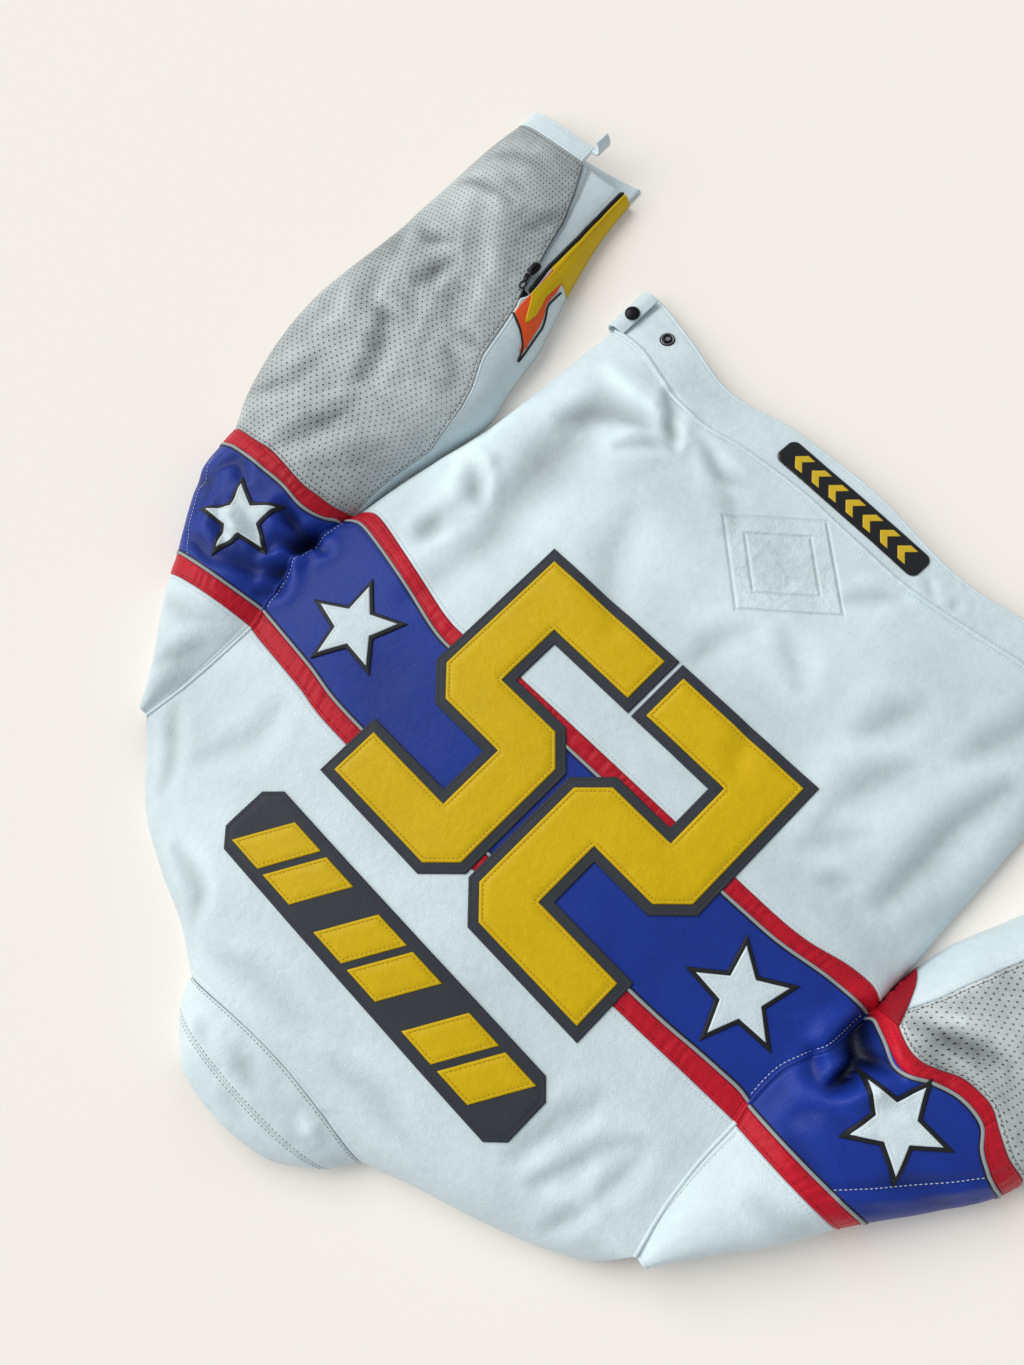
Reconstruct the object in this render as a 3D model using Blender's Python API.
"""A leather motorcycle jacket, laid on its front with its back uppermost.

The body and each sleeve are flattened tubes. A tube is a table of ribs, from one end to the other,
and a rib is one section: where its two edges lie on the floor plan, how high the leather crowns
between them, and how high it is at each edge. Top panels are stretches of a tube's crown, 2 mm
thick. Under panels are flat sheets on the floor, inside the same outline. Appliques take their
points from the panels that they lie on, moved out.

All sizes are in millimetres until a mesh is made. +X is the wearer's right, +Y the collar,
+Z up. The jacket rests on z = 0, and the origin is the middle of its outline.
"""

import math
from typing import NamedTuple

import bmesh
import bpy
import numpy as np
from mathutils import Vector
from mathutils.bvhtree import BVHTree
from mathutils.geometry import delaunay_2d_cdt

MM = 0.001
PLAN_CENTRE = np.array([-34.0, 26.0, 0.0])  # middle of the outline, in the tables' own frame

WALL = 2.0  # leather
ROLL_INSET = 0.8  # how far a rolled edge's outer side is drawn in at the floor
SEAM = 0.3  # between pieces that meet
FLOOR_EDGE = WALL + SEAM  # where a rolled edge stands on the under panel
ARMHOLE = 34.0  # height of the armhole seam
APPLIQUE_LIFT = 0.4  # from a panel to the applique on it
APPLIQUE = 1.2  # thickness of an applique
STACK_LIFT = 0.4  # from an applique to the one on it

# Columns across a tube, and rows between two ribs of the tables.
BODY_COLUMNS = 16
SLEEVE_COLUMNS = 10
ROWS_A_SPAN = 1
UNDER_OVER = 5  # columns of an underarm panel above the sleeve's inner edge
UNDER_COLUMNS = 3  # and below it

ZIP_X = 10.0  # centre line of the front zip
ZIP_WIDTH = 10.0
ZIP_CHAIN = (0.5, 2.0)  # bottom and top of the closed chain

# The generic number on the back: two block digits.
DIGIT = (117.0, 232.0)
DIGIT_STROKE = 40.0
DIGIT_CHAMFER = 20.0
DIGIT_CENTRES = {"left": (-63.5, 70.0), "right": (72.5, 70.0)}
DIGIT_BORDER = 8.0

# The strip across the nape, with slanted bars.
NAPE = (300.0, 60.0)
NAPE_CENTRE = (8.0, 254.0)
NAPE_CHAMFER = 12.0
NAPE_BARS = 3
NAPE_BAR = (66.0, 42.0)
NAPE_PITCH = 93.0
NAPE_SLANT = 12.0

# Centre, radius and turn of each star on the band, from the right sleeve to the left.
STARS = [
    ((339.0, 104.0), 30.0, 10.0),
    ((205.5, 100.0), 34.5, -8.0),
    ((-187.0, 91.5), 34.0, 0.0),
    ((-310.0, 80.0), 31.0, -33.0),
]
STAR_WAIST = 0.44
STAR_BORDER = 3.1

HEM_PATCH = (147.0, 24.0)
HEM_PATCH_CENTRE = (-1.0, -247.0)
HEM_PATCH_TURN = -2.4
HEM_PATCH_CHAMFER = 4.0

STAR_STEP = 14.0

# The waist strap's end: its section across the jacket as (x, z), and where it spans along Y.
TAB_PATH = [(244, 12.4), (250, 13.4), (255, 12.9), (259.4, 9.8), (261.3, 5.4), (260.2, 1.8), (256.7, 1.05)]
TAB_SPAN = (-285.0, -241.0)
TAB_TOP = 14.4

# The open cuff. Depths are inside the sleeve's outer surface, so a negative one lies on it.
ZIP_RIBS = ("zip_start", "flame", "wrist_high", "wrist", "cuff", "cuff_edge")
CUFF_TAPE_SHARE = 0.036
CUFF_TAPE_DEPTHS = (0.2, 1.6)
GUSSET_DEPTHS = (2.4, 3.6)
GUSSET_SAG = 3.0
FLAME_DEPTHS = (-1.5, -0.5)
FLAME_OUTER = [
    (315, -236), (312, -229), (310.5, -221), (308.5, -213), (303.5, -205), (299, -195),
    (295.5, -183), (291.5, -166), (290.5, -161), (295, -171), (303.5, -178.5), (311, -182),
    (317, -184.5), (319.5, -196), (320.5, -207), (323, -222), (326, -236),
]
CUFF_SLIDER = ((329.0, -231.0), (338.0, -219.0))
CUFF_SLIDER_LIFT = 0.5
CUFF_SLIDER_FEET = ((329.5, -231), (337.5, -231), (329.5, -219), (337.5, -219), (330, -208), (327, -202))
CUFF_PULL = ((332.8, -217.4), (327.3, -202.4))
CUFF_TAB_PATH = [(386.8, 25.4), (382.4, 25.6), (379.2, 27.6), (377.6, 32), (378.4, 37), (381, 40)]
CUFF_TAB_SPAN = (-363.0, -349.0)

SLIDER_HEIGHT = 4.2
PULL_WIDTH = 6.5
PULL_THICK = 1.4
PULL_REST = 1.4  # a pull's height over the foot of its slider
FRONT_PULL_REST = 0.1
FRONT_CHAIN = (-272.0, 382.0)
FRONT_SLIDER = (382.4, 394.0)
FRONT_PULL = ((10.0, 394.4), (10.0, 412.0))

SNAP_STUD = ((212.0, -262.0), 6.6, 3.0)
SNAP_STUD_LIFT = 0.7  # over the waistband, which slopes under the stud
SNAP_CAP = ((251.0, -260.0), 6.6, 2.0)

# (base colour, roughness, metallic)
FINISHES = {
    "white_leather": ((0.84, 0.88, 0.88), 0.45, 0.0),
    "blue_leather": ((0.03, 0.06, 0.42), 0.5, 0.0),
    "red_leather": ((0.66, 0.02, 0.05), 0.45, 0.0),
    "grey_leather": ((0.46, 0.5, 0.49), 0.4, 0.0),
    "dark_leather": ((0.05, 0.055, 0.065), 0.6, 0.0),
    "yellow_leather": ((0.64, 0.42, 0.0), 0.5, 0.0),
    "orange_leather": ((0.9, 0.18, 0.06), 0.5, 0.0),
    "black_gloss": ((0.01, 0.01, 0.012), 0.15, 0.0),
    "zip_tape": ((0.02, 0.02, 0.025), 0.7, 0.0),
    "black_metal": ((0.03, 0.03, 0.03), 0.35, 0.9),
}


class Rib(NamedTuple):
    """One section of a tube: its edges' places on the plan, and its heights."""

    first: tuple  # (x, y) of the edge where s is -1
    last: tuple  # (x, y) of the edge where s is +1
    bow: float  # how far the middle of the section runs ahead along Y
    crown: float  # height of the middle
    first_edge: float  # height of the leather at each edge
    last_edge: float


LOW = FLOOR_EDGE
TOP = ARMHOLE

# The body from the hem to the neck. The first edge is the left side, the last the right.
BODY_LOWER = {
    "hem": Rib((-246, -289), (256, -291), 24, 15, LOW, LOW),
    "waist": Rib((-254, -240), (256, -241), 17, 21, LOW, LOW),
    "small": Rib((-257, -200), (259, -202), 10, 27, LOW, LOW),
    "lumbar": Rib((-259, -150), (262, -150), 6, 33, LOW, LOW),
    "ribs_low": Rib((-260, -100), (267, -102), 4, 37, LOW, LOW),
    "ribs_high": Rib((-261, -48), (277, -50), 6, 40, LOW, LOW),
    "chest": Rib((-262, -8), (285, -8), 10, 42, LOW, LOW),
    "armpit": Rib((-261, 28), (288, 32), 14, 43, 8, 8),
}
BODY_ARMHOLE = {
    "armpit": BODY_LOWER["armpit"],
    "band_low": Rib((-260, 42), (289, 46), 14, 43, 18, 18),
    "blade_low": Rib((-253, 72), (291, 77), 12, 44, 28, 28),
    "blade": Rib((-239, 106), (283, 110), 10, 45, TOP, TOP),
    "band_high": Rib((-238, 141), (272, 143), 9, 46, TOP, TOP),
    "yoke": Rib((-240, 155), (268, 158), 9, 46, TOP, TOP),
    "yoke_low": Rib((-240, 190), (268, 193), 5, 47, TOP, TOP),
    "yoke_high": Rib((-243, 226), (270, 228), 2, 48, TOP, TOP),
    "shoulder": Rib((-250, 262), (274, 264), 0, 49, TOP, TOP),
}
BODY_SHOULDER = {
    "shoulder": BODY_ARMHOLE["shoulder"],
    "slope_low": Rib((-238, 287), (258, 289), -4, 49, 10, 10),
    "slope": Rib((-211, 307), (226, 317), -8, 47, LOW, LOW),
    "slope_high": Rib((-166, 328), (184, 336), -8, 45, LOW, LOW),
    "slope_top": Rib((-122, 345), (140, 351), -8, 42, LOW, LOW),
    "neck": Rib((-82, 363), (104, 370), -13, 40, LOW, LOW),
}
COLLAR = {
    "neck": BODY_SHOULDER["neck"],
    "middle": Rib((-68, 384), (92, 390), 4, 37, LOW, LOW),
    "top": Rib((-44, 405), (64, 413), 6, 28, LOW, LOW),
}

# A sleeve from the shoulder to the cuff. The first edge is the armhole, then the inner side.
RIGHT_UPPER = {
    "shoulder": Rib((274, 264), (287, 265), 0, 35, TOP, LOW),
    "yoke_high": Rib((270, 228), (309, 235), 1, 42, TOP, LOW),
    "yoke_low": Rib((268, 193), (338, 204), 0, 46, TOP, LOW),
    "yoke": Rib((268, 158), (360, 177), -2, 47, TOP, LOW),
    "band_high": Rib((272, 143), (370, 161), 0, 47, TOP, LOW),
    "blade": Rib((283, 110), (396, 127), 1, 47, TOP, LOW),
    "blade_low": Rib((291, 77), (415, 95), 3, 47, 28, LOW),
    "band_low": Rib((289, 46), (421, 69), 5, 47, 18, LOW),
    "armpit": Rib((288, 32), (424, 54), 6, 46, 8, LOW),
}
RIGHT_LOWER = {
    "armpit": RIGHT_UPPER["armpit"],
    "elbow_high": Rib((289, -8), (444, 20), 4, 46, LOW, LOW),
    "elbow": Rib((281, -52), (462, -26), 0, 46, LOW, LOW),
    "elbow_low": Rib((272, -102), (472, -78), 0, 44, LOW, LOW),
    "forearm_high": Rib((281, -140), (471, -128), 0, 43, LOW, LOW),
    "forearm": Rib((290, -184), (468, -182), 0, 41, LOW, LOW),
    "zip_end": Rib((295, -197), (468, -196), 0, 40.4, LOW, LOW),
    "zip_start": Rib((299, -208), (468, -208), 0, 40, LOW, LOW),
    "flame": Rib((310, -238), (468, -240), 0, 38, LOW, LOW),
    "wrist_high": Rib((323, -278), (470, -284), 0, 35, LOW, LOW),
    "wrist": Rib((331, -310), (470, -312), 3, 32, LOW, LOW),
    "cuff": Rib((336, -345), (469, -337), 6, 28, LOW, LOW),
    "cuff_edge": Rib((338, -364), (470, -356), 6, 26, LOW, LOW),
}
LEFT_UPPER = {
    "shoulder": Rib((-250, 262), (-263, 263), 0, 35, TOP, LOW),
    "yoke_high": Rib((-243, 226), (-286, 230), 0, 42, TOP, LOW),
    "yoke_low": Rib((-240, 190), (-314, 191), 0, 46, TOP, LOW),
    "yoke": Rib((-240, 155), (-334, 156), 1, 47, TOP, LOW),
    "band_high": Rib((-238, 141), (-345, 140), 2, 47, TOP, LOW),
    "blade": Rib((-239, 106), (-368, 108), -2, 47, TOP, LOW),
    "blade_low": Rib((-253, 72), (-387, 80), -8, 47, 28, LOW),
    "band_low": Rib((-260, 42), (-396, 64), -12, 47, 18, LOW),
    "armpit": Rib((-261, 28), (-401, 50), -10, 46, 8, LOW),
}
LEFT_LOWER = {
    "armpit": LEFT_UPPER["armpit"],
    "elbow_high": Rib((-265, -6), (-424, 20), -4, 46, LOW, LOW),
    "elbow": Rib((-272, -42), (-447, -8), 0, 46, LOW, LOW),
    "elbow_low": Rib((-289, -84), (-467, -44), 0, 44, LOW, LOW),
    "forearm_high": Rib((-308, -130), (-482, -88), 0, 43, LOW, LOW),
    "forearm": Rib((-332, -182), (-496, -136), 0, 41, LOW, LOW),
    "wrist_high": Rib((-358, -236), (-509, -190), 0, 37, LOW, LOW),
    "wrist": Rib((-388, -300), (-524, -251), 0, 32, LOW, LOW),
    "cuff": Rib((-412, -349), (-536, -302), 0, 28, LOW, LOW),
    "cuff_edge": Rib((-420, -366), (-540, -319), 0, 26, LOW, LOW),
}

# Where the grey forearm meets the white underarm panel, as a share of the way across each rib.
RIGHT_SPLIT = {
    "armpit": 0.03,
    "elbow_high": 0.03,
    "elbow": 0.03,
    "elbow_low": 0.09,
    "forearm_high": 0.135,
    "forearm": 0.16,
    "zip_end": 0.166,
    "zip_start": 0.172,
    "flame": 0.178,
    "wrist_high": 0.2,
    "wrist": 0.26,
    "cuff": 0.37,
    "cuff_edge": 0.38,
}
# Below the zip's end the right underarm panel stops at the zip instead.
RIGHT_ZIP = RIGHT_SPLIT | {
    "zip_start": 0.131,
    "flame": 0.112,
    "wrist_high": 0.066,
    "wrist": 0.044,
    "cuff": 0.035,
    "cuff_edge": 0.035,
}
LEFT_SPLIT = {
    "armpit": 0.05,
    "elbow_high": 0.11,
    "elbow": 0.13,
    "elbow_low": 0.13,
    "forearm_high": 0.15,
    "forearm": 0.18,
    "wrist_high": 0.22,
    "wrist": 0.26,
    "cuff": 0.3,
    "cuff_edge": 0.3,
}


def smooth(table, steps):
    """Rows through a table's ribs on a smooth curve, and the row number of each named rib."""
    keys = np.array([[*r.first, *r.last, *r[2:]] for r in table.values()], float)
    padded = np.vstack([2 * keys[0] - keys[1], keys, 2 * keys[-1] - keys[-2]])
    rows = []
    for p0, p1, p2, p3 in zip(padded, padded[1:], padded[2:], padded[3:]):
        for t in np.arange(steps) / steps:
            bend = (2 * p0 - 5 * p1 + 4 * p2 - p3) * t * t + (3 * p1 - p0 - 3 * p2 + p3) * t**3
            rows.append(p1 + 0.5 * ((p2 - p0) * t + bend))
    rows.append(keys[-1])
    return np.array(rows), {name: i * steps for i, name in enumerate(table)}


class Tube:
    """A flattened tube of leather through runs of ribs that meet at corners of its outline."""

    def __init__(self, *runs, power, steps=ROWS_A_SPAN):
        self.power, self.named, rows = power, {}, []
        for table in runs:
            part, names = smooth(table, steps)
            start = max(len(rows) - 1, 0)
            self.named.update({name: start + i for name, i in names.items()})
            rows.extend(part[1:] if rows else part)
        self.rows = np.array(rows)

    def share(self, row, values):
        """The value at a row of a dictionary of shares by rib name."""
        names = [n for n in self.named if n in values]
        return np.interp(row, [self.named[n] for n in names], [values[n] for n in names])

    def at_x(self, row, x):
        """The s at which a row's section reaches an x."""
        a, b = self.rows[row][0], self.rows[row][2]
        return 2 * (x - a) / (b - a) - 1

    def crown(self, row, s, depth=0.0):
        """Points of the top at a row, that far inside the outer surface."""
        ax, ay, bx, by, bow, crown, edge_a, edge_b = self.rows[row]
        s = np.asarray(s, float)
        a, b = np.array([ax, ay]), np.array([bx, by])
        across = (b - a) / np.linalg.norm(b - a)
        rolled = [(ARMHOLE - e) / (ARMHOLE - LOW) for e in (edge_a, edge_b)]
        a, b = a + across * depth * rolled[0], b - across * depth * rolled[1]
        low_a, low_b = edge_a - depth * (1 - rolled[0]), edge_b - depth * (1 - rolled[1])
        way = (s + 1) / 2
        plan = a + way[:, None] * (b - a)
        plan[:, 1] += bow * (1 - s * s)
        roll = np.where(s < 0, rolled[0], rolled[1])
        low = low_a + way * (low_b - low_a)
        side = np.abs(s) ** self.power
        rise = np.clip(1 - side, 0, 1) ** (1 / (1 + (self.power - 1) * roll))
        return np.column_stack([plan, low + (crown - depth - low) * rise])

    def floor(self, row, s, height, inset=0.0):
        """Points of the under side at a row, at one height, its two ends drawn in by the inset."""
        ax, ay, bx, by, bow = self.rows[row][:5]
        s = np.asarray(s, float)
        a, b = np.array([ax, ay]), np.array([bx, by])
        plan = a + (s[:, None] + 1) / 2 * (b - a)
        plan[:, 1] += bow * (1 - s * s)
        for end, inner in ((0, 1), (-1, -2)) if inset else ():
            move = plan[inner] - plan[end]
            plan[end] += move * inset / np.linalg.norm(move)
        return np.column_stack([plan, np.full(len(s), float(height))])


def spaced(first, last, count):
    """Values of s from first to last, closer together toward a tube's edges at -1 and 1."""
    turns = np.linspace(math.asin(first), math.asin(last), count + 1)
    return np.sin(turns)


def trimmed(grid, sides="abcd"):
    """A grid of points drawn in by half a seam: a and b are its first and last row, c and d its columns."""
    grid = grid.copy()
    for side, edge, inner in (("a", 0, 1), ("b", -1, -2)):
        if side in sides:
            move = grid[inner] - grid[edge]
            grid[edge] += move * (SEAM / 2 / np.linalg.norm(move, axis=1))[:, None]
    for side, edge, inner in (("c", 0, 1), ("d", -1, -2)):
        if side in sides:
            move = grid[:, inner] - grid[:, edge]
            grid[:, edge] += move * (SEAM / 2 / np.linalg.norm(move, axis=1))[:, None]
    return grid


def material(finish):
    """The finish as a Principled material, made once."""
    known = bpy.data.materials.get(finish)
    if known:
        return known
    colour, roughness, metallic = FINISHES[finish]
    made = bpy.data.materials.new(finish)
    made.use_nodes = True
    shader = made.node_tree.nodes["Principled BSDF"]
    shader.inputs["Base Color"].default_value = (*colour, 1)
    shader.inputs["Roughness"].default_value = roughness
    shader.inputs["Metallic"].default_value = metallic
    return made


def solid(name, points, faces, finish):
    """A closed mesh object from points in millimetres, its faces turned outwards."""
    mesh = bpy.data.meshes.new(name)
    mesh.from_pydata(((np.asarray(points) - PLAN_CENTRE) * MM).tolist(), [], faces)
    shell = bmesh.new()
    shell.from_mesh(mesh)
    bmesh.ops.recalc_face_normals(shell, faces=shell.faces)
    bmesh.ops.triangulate(shell, faces=shell.faces, quad_method="SHORT_EDGE")
    if shell.calc_volume(signed=True) < 0:
        bmesh.ops.reverse_faces(shell, faces=shell.faces)
    shell.to_mesh(mesh)
    shell.free()
    mesh.shade_smooth()
    mesh.set_sharp_from_angle(angle=math.radians(40))
    mesh.materials.append(material(finish))
    made = bpy.data.objects.new(name, mesh)
    bpy.context.collection.objects.link(made)
    return made


def sheet(name, outer, inner, finish):
    """A wall between two grids of points of one shape."""
    rows, columns = outer.shape[:2]
    number = np.arange(rows * columns).reshape(rows, columns)
    other = number + rows * columns
    faces = []
    for r in range(rows - 1):
        for c in range(columns - 1):
            quad = [(r, c), (r, c + 1), (r + 1, c + 1), (r + 1, c)]
            faces.append([int(number[at]) for at in quad])
            faces.append([int(other[at]) for at in reversed(quad)])
    ring = [(0, c) for c in range(columns)]
    ring += [(r, columns - 1) for r in range(1, rows)]
    ring += [(rows - 1, c) for c in range(columns - 2, -1, -1)]
    ring += [(r, 0) for r in range(rows - 2, 0, -1)]
    for a, b in zip(ring, ring[1:] + ring[:1]):
        faces.append([int(number[b]), int(number[a]), int(other[a]), int(other[b])])
    return solid(name, np.vstack([outer.reshape(-1, 3), inner.reshape(-1, 3)]), faces, finish)


def rows_between(tube, start, end):
    return range(tube.named[start], tube.named[end] + 1)


def top_panel(
    name, tube, start, end, finish, columns, first=-1.0, last=1.0, depths=(0.0, WALL), sag=0.0
):
    """A stretch of a tube's crown between two depths inside its outer surface.

    first and last are s, or a dictionary of shares by rib. The sag lowers the panel's middle.
    """

    def s_at(row, limit):
        return 2 * tube.share(row, limit) - 1 if isinstance(limit, dict) else limit

    sections = [
        (row, spaced(s_at(row, first), s_at(row, last), columns))
        for row in rows_between(tube, start, end)
    ]
    outer, inner = (
        trimmed(np.array([tube.crown(row, s, depth) for row, s in sections])) for depth in depths
    )
    low = sag * np.sin(np.linspace(0, math.pi, columns + 1))
    outer[..., 2] -= low
    inner[..., 2] -= low
    return sheet(name, outer, inner, finish)


def under_panel(name, tube, start, end, finish, columns, first=None, last=None):
    """A flat sheet on the floor inside a tube's outline, as far as an x where one is given."""
    sections = []
    for row in rows_between(tube, start, end):
        a = -1.0 if first is None else tube.at_x(row, first)
        b = 1.0 if last is None else tube.at_x(row, last)
        sections.append((row, np.linspace(a, b, columns + 1)))
    outer, inner = (
        trimmed(np.array([tube.floor(row, s, height) for row, s in sections]))
        for height in (0.0, WALL)
    )
    return sheet(name, outer, inner, finish)


def wrapped_panel(name, tube, start, end, finish, split):
    """A panel from a split in the crown, over the first edge and across the floor to the last edge."""
    outer, inner = [], []
    for row in rows_between(tube, start, end):
        above = spaced(2 * tube.share(row, split) - 1, -1.0, UNDER_OVER)
        below = np.linspace(-1.0, 1.0, UNDER_COLUMNS + 1)
        outer.append(np.vstack([tube.crown(row, above), tube.floor(row, below, 0.0, ROLL_INSET)]))
        inner.append(np.vstack([tube.crown(row, above, WALL), tube.floor(row, below, WALL, WALL)]))
        outer[-1][-1, :2] = inner[-1][-1, :2] = tube.floor(row, [1.0], 0.0)[0, :2]
    return sheet(name, trimmed(np.array(outer)), trimmed(np.array(inner)), finish)


class Ground:
    """The outer surface of some panels, to lay an applique on."""

    def __init__(self, panels):
        points, faces = [], []
        for panel in panels:
            start = len(points)
            points += [v.co / MM for v in panel.data.vertices]
            faces += [[start + i for i in p.vertices] for p in panel.data.polygons]
        self.tree = BVHTree.FromPolygons(points, faces)

    def height(self, x, y):
        """The highest point near (x, y), so that a seam's gap isn't looked into."""
        found = []
        for dx, dy in ((0, 0), (0, SEAM * 2), (0, -SEAM * 2), (SEAM * 2, 0), (-SEAM * 2, 0)):
            above = Vector((x + dx - PLAN_CENTRE[0], y + dy - PLAN_CENTRE[1], 500.0))
            place = self.tree.ray_cast(above, Vector((0, 0, -1)))[0]
            if place is not None:
                found.append(place.z)
        if not found:
            raise ValueError(f"nothing lies under ({x:.0f}, {y:.0f})")
        return max(found)


def subdivided(outline, step):
    """An outline with points no further apart than step."""
    points = []
    for a, b in zip(outline, outline[1:] + outline[:1]):
        a, b = np.array(a, float), np.array(b, float)
        count = max(1, math.ceil(np.linalg.norm(b - a) / step))
        points += [tuple(a + (b - a) * i / count) for i in range(count)]
    return points


def inside(point, outline):
    """Whether a point lies inside an outline."""
    x, y = point
    found = False
    for (ax, ay), (bx, by) in zip(outline, outline[1:] + outline[:1]):
        if (ay > y) != (by > y) and x < ax + (y - ay) * (bx - ax) / (by - ay):
            found = not found
    return found


def raise_clear(points, triangles, ground, lift):
    """Raise the corners of each flat triangle until it clears the ridges of the ground by the lift."""
    shares = [(i / 5, j / 5, 1 - (i + j) / 5) for i in range(6) for j in range(6 - i)]
    for triangle in triangles:
        corners = points[list(triangle)]
        for share in shares:
            x, y, z = np.array(share) @ corners
            short = ground.height(x, y) + lift - z
            if short > 0:
                points[list(triangle), 2] += short
                corners = points[list(triangle)]


def applique(name, outline, ground, finish, lift=APPLIQUE_LIFT, thick=APPLIQUE, step=22.0):
    """A thin piece of the outline's shape that follows the ground under it."""
    edge = subdivided(outline, step)
    low, high = np.min(edge, axis=0), np.max(edge, axis=0)
    grid = [
        (x, y)
        for x in np.arange(low[0] + step / 2, high[0], step)
        for y in np.arange(low[1] + step / 2, high[1], step)
    ]
    clear = [p for p in grid if inside(p, edge) and min(math.dist(p, q) for q in edge) > step * 0.45]
    ring = [(i, (i + 1) % len(edge)) for i in range(len(edge))]
    flat = [Vector(p) for p in edge + clear]
    places, _, triangles, *_ = delaunay_2d_cdt(flat, ring, [list(range(len(edge)))], 1, 1e-4)
    base = np.array([(p.x, p.y, ground.height(p.x, p.y) + lift) for p in places])
    raise_clear(base, triangles, ground, lift)
    top = base + (0, 0, thick)
    count = len(base)
    faces = [list(t) for t in triangles] + [[i + count for i in reversed(t)] for t in triangles]
    edges = {}
    for t in triangles:
        for a, b in zip(t, [*t[1:], t[0]]):
            edges[(a, b)] = edges.get((a, b), 0) + 1
    for a, b in [e for e in edges if (e[1], e[0]) not in edges]:
        faces.append([b, a, a + count, b + count])
    return solid(name, np.vstack([base, top]), faces, finish)


def grown(outline, by):
    """The outline with each side moved out by that much. It runs anticlockwise."""
    sides = []
    for a, b in zip(outline, outline[1:] + outline[:1]):
        a, b = np.array(a, float), np.array(b, float)
        way = (b - a) / np.linalg.norm(b - a)
        sides.append((a + np.array([way[1], -way[0]]) * by, way))
    points = []
    for (p, d), (q, e) in zip([sides[-1], *sides[:-1]], sides):
        turn = d[0] * e[1] - d[1] * e[0]
        along = ((q - p)[0] * e[1] - (q - p)[1] * e[0]) / turn
        points.append(tuple(p + d * along))
    return points


def placed(outline, centre, turn=0.0):
    """An outline about the origin, turned by degrees and moved to a centre."""
    c, s = math.cos(math.radians(turn)), math.sin(math.radians(turn))
    return [(centre[0] + c * x - s * y, centre[1] + s * x + c * y) for x, y in outline]


def star(radius):
    """A five-pointed star with a point toward the collar, anticlockwise."""
    points = []
    for i in range(10):
        r = radius if i % 2 == 0 else radius * STAR_WAIST
        turn = math.radians(90 + 36 * i)
        points.append((r * math.cos(turn), r * math.sin(turn)))
    return points


def block_digit(mirrored):
    """A block 2, or the same shape mirrored as a block 5, about its centre."""
    (w, h), t, c = DIGIT, DIGIT_STROKE, DIGIT_CHAMFER
    low, high = (h - t) / 2, (h + t) / 2
    foot = [(0, 0), (w, 0), (w, t), (t, t), (t, low)]
    bowl = [(w - c, low), (w, low + c), (w, h - c), (w - c, h), (0, h), (0, h - t)]
    neck = [(w - t, h - t), (w - t, high), (c, high), (0, high - c)]
    outline = [(x - w / 2, y - h / 2) for x, y in foot + bowl + neck]
    return [(-x, y) for x, y in reversed(outline)] if mirrored else outline


def box_outline(width, height, chamfer=0.0):
    """A rectangle about the origin, its corners cut, anticlockwise."""
    w, h, c = width / 2, height / 2, chamfer
    if not c:
        return [(-w, -h), (w, -h), (w, h), (-w, h)]
    lower = [(-w, -h + c), (-w + c, -h), (w - c, -h), (w, -h + c)]
    return lower + [(w, h - c), (w - c, h), (-w + c, h), (-w, h - c)]


def disc(name, centre, radius, thick, base, finish, sides=16):
    """An upright disc."""
    points, faces = [], []
    for z in (base, base + thick):
        for i in range(sides):
            turn = 2 * math.pi * i / sides
            points.append((centre[0] + radius * math.cos(turn), centre[1] + radius * math.sin(turn), z))
    faces.append(list(range(sides))[::-1])
    faces.append(list(range(sides, 2 * sides)))
    faces += [[i, (i + 1) % sides, sides + (i + 1) % sides, sides + i] for i in range(sides)]
    return solid(name, points, faces, finish)


def block(name, low, high, finish):
    """A box between two corners."""
    grid = np.array([[(x, y, low[2]) for x in (low[0], high[0])] for y in (low[1], high[1])], float)
    top = grid + (0, 0, high[2] - low[2])
    return sheet(name, top, grid, finish)


def make_back(body, collar):
    """The back, from the waistband to the neck, and the collar."""
    panels = [
        ("back_waistband", "hem", "waist", "white_leather"),
        ("back_lower", "waist", "armpit", "white_leather"),
        ("back_strip_hem", "armpit", "band_low", "red_leather"),
        ("back_band", "band_low", "band_high", "blue_leather"),
        ("back_strip_neck", "band_high", "yoke", "red_leather"),
        ("back_yoke", "yoke", "neck", "white_leather"),
    ]
    made = {
        name: top_panel(name, body, start, end, finish, BODY_COLUMNS)
        for name, start, end, finish in panels
    }
    top_panel("collar_lower", collar, "neck", "middle", "white_leather", BODY_COLUMNS)
    top_panel("collar_upper", collar, "middle", "top", "white_leather", BODY_COLUMNS)
    return made


def make_front(body, collar):
    """The two fronts and their collar and waistband, flat on the floor, and the closed zip."""
    right, left = ZIP_X + ZIP_WIDTH / 2, ZIP_X - ZIP_WIDTH / 2
    for side, first, last in (("right", right, None), ("left", None, left)):
        under_panel(f"front_waistband_{side}", body, "hem", "waist", "white_leather", 4, first, last)
        under_panel(f"front_{side}", body, "waist", "neck", "white_leather", 4, first, last)
        under_panel(f"collar_front_{side}", collar, "neck", "top", "white_leather", 2, first, last)


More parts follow.
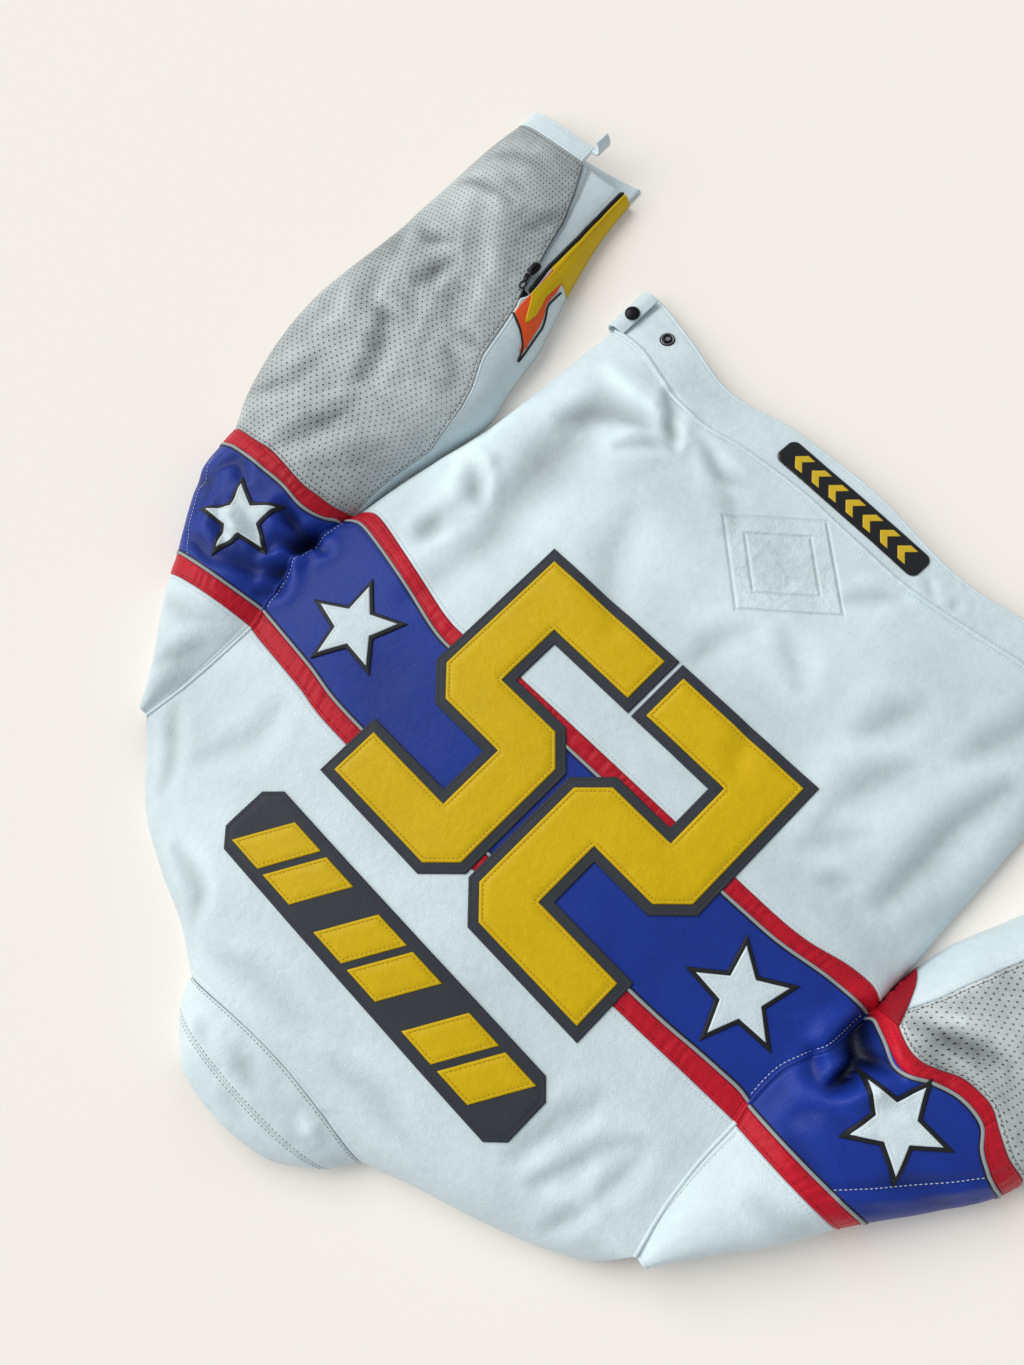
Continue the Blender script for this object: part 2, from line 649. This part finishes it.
def make_sleeve(side, tube, split, under_split):
    """The panels of one sleeve. All but the front of its upper arm are returned."""
    panels = [
        ("sleeve_cap", "shoulder", "yoke", "white_leather", -1.0),
        ("sleeve_strip_neck", "yoke", "band_high", "red_leather", -1.0),
        ("sleeve_band", "band_high", "band_low", "blue_leather", -1.0),
        ("sleeve_strip_hem", "band_low", "armpit", "red_leather", -1.0),
        ("forearm", "armpit", "cuff", "grey_leather", split),
    ]
    made = [
        top_panel(f"{name}_{side}", tube, start, end, finish, SLEEVE_COLUMNS, first)
        for name, start, end, finish, first in panels
    ]
    under_panel(f"sleeve_front_{side}", tube, "shoulder", "armpit", "white_leather", UNDER_COLUMNS)
    under = wrapped_panel(
        f"sleeve_under_{side}", tube, "armpit", "cuff", "white_leather", under_split
    )
    return [*made, under]


def make_cuff(side, tube, split, closed):
    """The cuff's strip round the sleeve's end. An open cuff stops at the split."""
    outer, inner = [], []
    for row in rows_between(tube, "cuff", "cuff_edge"):
        first = -1.0 if closed else 2 * tube.share(row, split) - 1
        above = spaced(first, 1.0, SLEEVE_COLUMNS)
        below = np.linspace(1.0, -1.0, UNDER_COLUMNS + 1)
        outer.append(np.vstack([tube.crown(row, above), tube.floor(row, below, 0.0, ROLL_INSET)]))
        inner.append(np.vstack([tube.crown(row, above, WALL), tube.floor(row, below, WALL, WALL)]))
    sides = "abcd" if closed else "ab"
    return sheet(
        f"cuff_{side}",
        trimmed(np.array(outer), sides),
        trimmed(np.array(inner), sides),
        "white_leather",
    )


def make_stars(grounds):
    """Four white stars, each on a black one that shows as its outline."""
    for i, ((centre, radius, turn), ground) in enumerate(zip(STARS, grounds), 1):
        shape = placed(star(radius), centre, turn)
        backing = grown(shape, STAR_BORDER)
        under = applique(f"star_{i}_backing", backing, ground, "dark_leather", step=STAR_STEP)
        applique(
            f"star_{i}", shape, Ground([under]), "white_leather", STACK_LIFT, step=STAR_STEP
        )


def make_number(ground):
    """Two plain block digits on dark backings, across the band."""
    for side, centre in DIGIT_CENTRES.items():
        shape = placed(block_digit(mirrored=side == "right"), centre)
        backing = grown(shape, DIGIT_BORDER)
        under = applique(f"number_{side}_backing", backing, ground, "dark_leather")
        applique(f"number_{side}", shape, Ground([under]), "yellow_leather", STACK_LIFT)


def make_nape(ground):
    """The dark strip below the collar, with plain slanted bars."""
    strip = placed(box_outline(*NAPE, NAPE_CHAMFER), NAPE_CENTRE)
    under = Ground([applique("nape_panel", strip, ground, "dark_leather")])
    w, h = NAPE_BAR[0] / 2, NAPE_BAR[1] / 2
    bar = [(-w - NAPE_SLANT, -h), (w - NAPE_SLANT, -h), (w + NAPE_SLANT, h), (-w + NAPE_SLANT, h)]
    for i in range(NAPE_BARS):
        x = NAPE_CENTRE[0] + (i - (NAPE_BARS - 1) / 2) * NAPE_PITCH
        shape = placed(bar, (x, NAPE_CENTRE[1]))
        applique(f"nape_bar_{i + 1}", shape, under, "yellow_leather", STACK_LIFT)


def make_waist_fittings(ground):
    """The glossy patch at the hem's middle, and the right side's tab, cap and stud."""
    patch = placed(box_outline(*HEM_PATCH, HEM_PATCH_CHAMFER), HEM_PATCH_CENTRE, HEM_PATCH_TURN)
    applique("hem_patch", patch, ground, "black_gloss")
    (x, y), radius, thick = SNAP_STUD
    disc("snap_stud", (x, y), radius, thick, ground.height(x, y) + SNAP_STUD_LIFT, "black_metal")
    make_waist_tab()


def ribbon(name, path, span, finish):
    """A strip of leather along a path of (x, z) points, spanning two places along Y."""
    path = np.array(path, float)
    way = np.gradient(path, axis=0)
    normal = np.column_stack([way[:, 1], -way[:, 0]]) / np.linalg.norm(way, axis=1)[:, None]
    grids = [
        np.array([[(x, y, z) for x, z in side] for y in np.linspace(*span, 3)])
        for side in (path + normal * WALL / 2, path - normal * WALL / 2)
    ]
    return sheet(name, *grids, finish)


def make_waist_tab():
    """The end of the waist strap: it comes round the side from the front and lies on the waistband."""
    ribbon("waist_tab", TAB_PATH, TAB_SPAN, "white_leather")
    (x, y), radius, thick = SNAP_CAP
    disc("snap_cap", (x, y), radius, thick, TAB_TOP + STACK_LIFT, "black_metal")


def beam(name, start, end, width, low, high, finish):
    """A flat bar between two places on the plan, from one height to another."""
    start, end = np.array(start, float), np.array(end, float)
    way = (end - start) / np.linalg.norm(end - start)
    side = np.array([-way[1], way[0]]) * width / 2
    corners = [start - side, start + side, end - side, end + side]
    grids = [
        np.array([[*p, z] for p in corners], float).reshape(2, 2, 3) for z in (high, low)
    ]
    return sheet(name, *grids, finish)


def make_cuff_opening(tube, ground):
    """The right cuff's open gusset, its zip with slider and pull, and the flame beside it."""
    tape = {name: RIGHT_ZIP[name] + CUFF_TAPE_SHARE for name in ZIP_RIBS}
    top_panel(
        "cuff_gusset", tube, "zip_start", "cuff", "white_leather", 4,
        RIGHT_ZIP, RIGHT_SPLIT, GUSSET_DEPTHS, GUSSET_SAG,
    )
    top_panel(
        "cuff_zip", tube, "zip_start", "cuff", "zip_tape", 1, RIGHT_ZIP, tape, CUFF_TAPE_DEPTHS
    )
    top_panel(
        "flame_inner", tube, "flame", "cuff", "yellow_leather", UNDER_OVER,
        -1.0, RIGHT_ZIP, FLAME_DEPTHS,
    )
    applique("flame_outer", FLAME_OUTER, ground, "orange_leather", thick=1.0, step=8.0)
    base = max(ground.height(x, y) for x, y in CUFF_SLIDER_FEET) + CUFF_SLIDER_LIFT
    block("cuff_slider", (*CUFF_SLIDER[0], base), (*CUFF_SLIDER[1], base + SLIDER_HEIGHT), "black_metal")
    low = base + PULL_REST
    beam("cuff_pull", *CUFF_PULL, PULL_WIDTH, low, low + PULL_THICK, "black_metal")


def make_cuff_tab():
    """The end of the right cuff's strap, curled up at the strip's corner."""
    ribbon("cuff_tab", CUFF_TAB_PATH, CUFF_TAB_SPAN, "white_leather")


def make_front_zip():
    """The closed front zip in its slot: the chain, and the slider and its pull at the collar."""
    half = ZIP_WIDTH / 2 - SEAM
    low, high = ZIP_CHAIN
    start, end = FRONT_CHAIN
    block("front_zip", (ZIP_X - half, start, low), (ZIP_X + half, end, high), "zip_tape")
    start, end = FRONT_SLIDER
    block(
        "front_slider", (ZIP_X - half, start, low), (ZIP_X + half, end, low + SLIDER_HEIGHT), "black_metal"
    )
    low = low + FRONT_PULL_REST
    beam("front_pull", *FRONT_PULL, PULL_WIDTH, low, low + PULL_THICK, "black_metal")


def main():
    for old in list(bpy.data.objects):
        bpy.data.objects.remove(old)
    body = Tube(BODY_LOWER, BODY_ARMHOLE, BODY_SHOULDER, power=2.6)
    collar = Tube(COLLAR, power=2.6)
    right = Tube(RIGHT_UPPER, RIGHT_LOWER, power=2.4)
    left = Tube(LEFT_UPPER, LEFT_LOWER, power=2.4)
    back = Ground(make_back(body, collar).values())
    make_front(body, collar)
    tops_right = make_sleeve("right", right, RIGHT_SPLIT, RIGHT_ZIP)
    tops_left = make_sleeve("left", left, LEFT_SPLIT, LEFT_SPLIT)
    make_cuff("right", right, RIGHT_SPLIT, closed=False)
    make_cuff("left", left, LEFT_SPLIT, closed=True)
    arm_right, arm_left = Ground(tops_right), Ground(tops_left)
    make_stars([arm_right, back, back, arm_left])
    make_number(back)
    make_nape(back)
    make_waist_fittings(back)
    make_cuff_opening(right, arm_right)
    make_cuff_tab()
    make_front_zip()


if __name__ == "__main__":
    main()
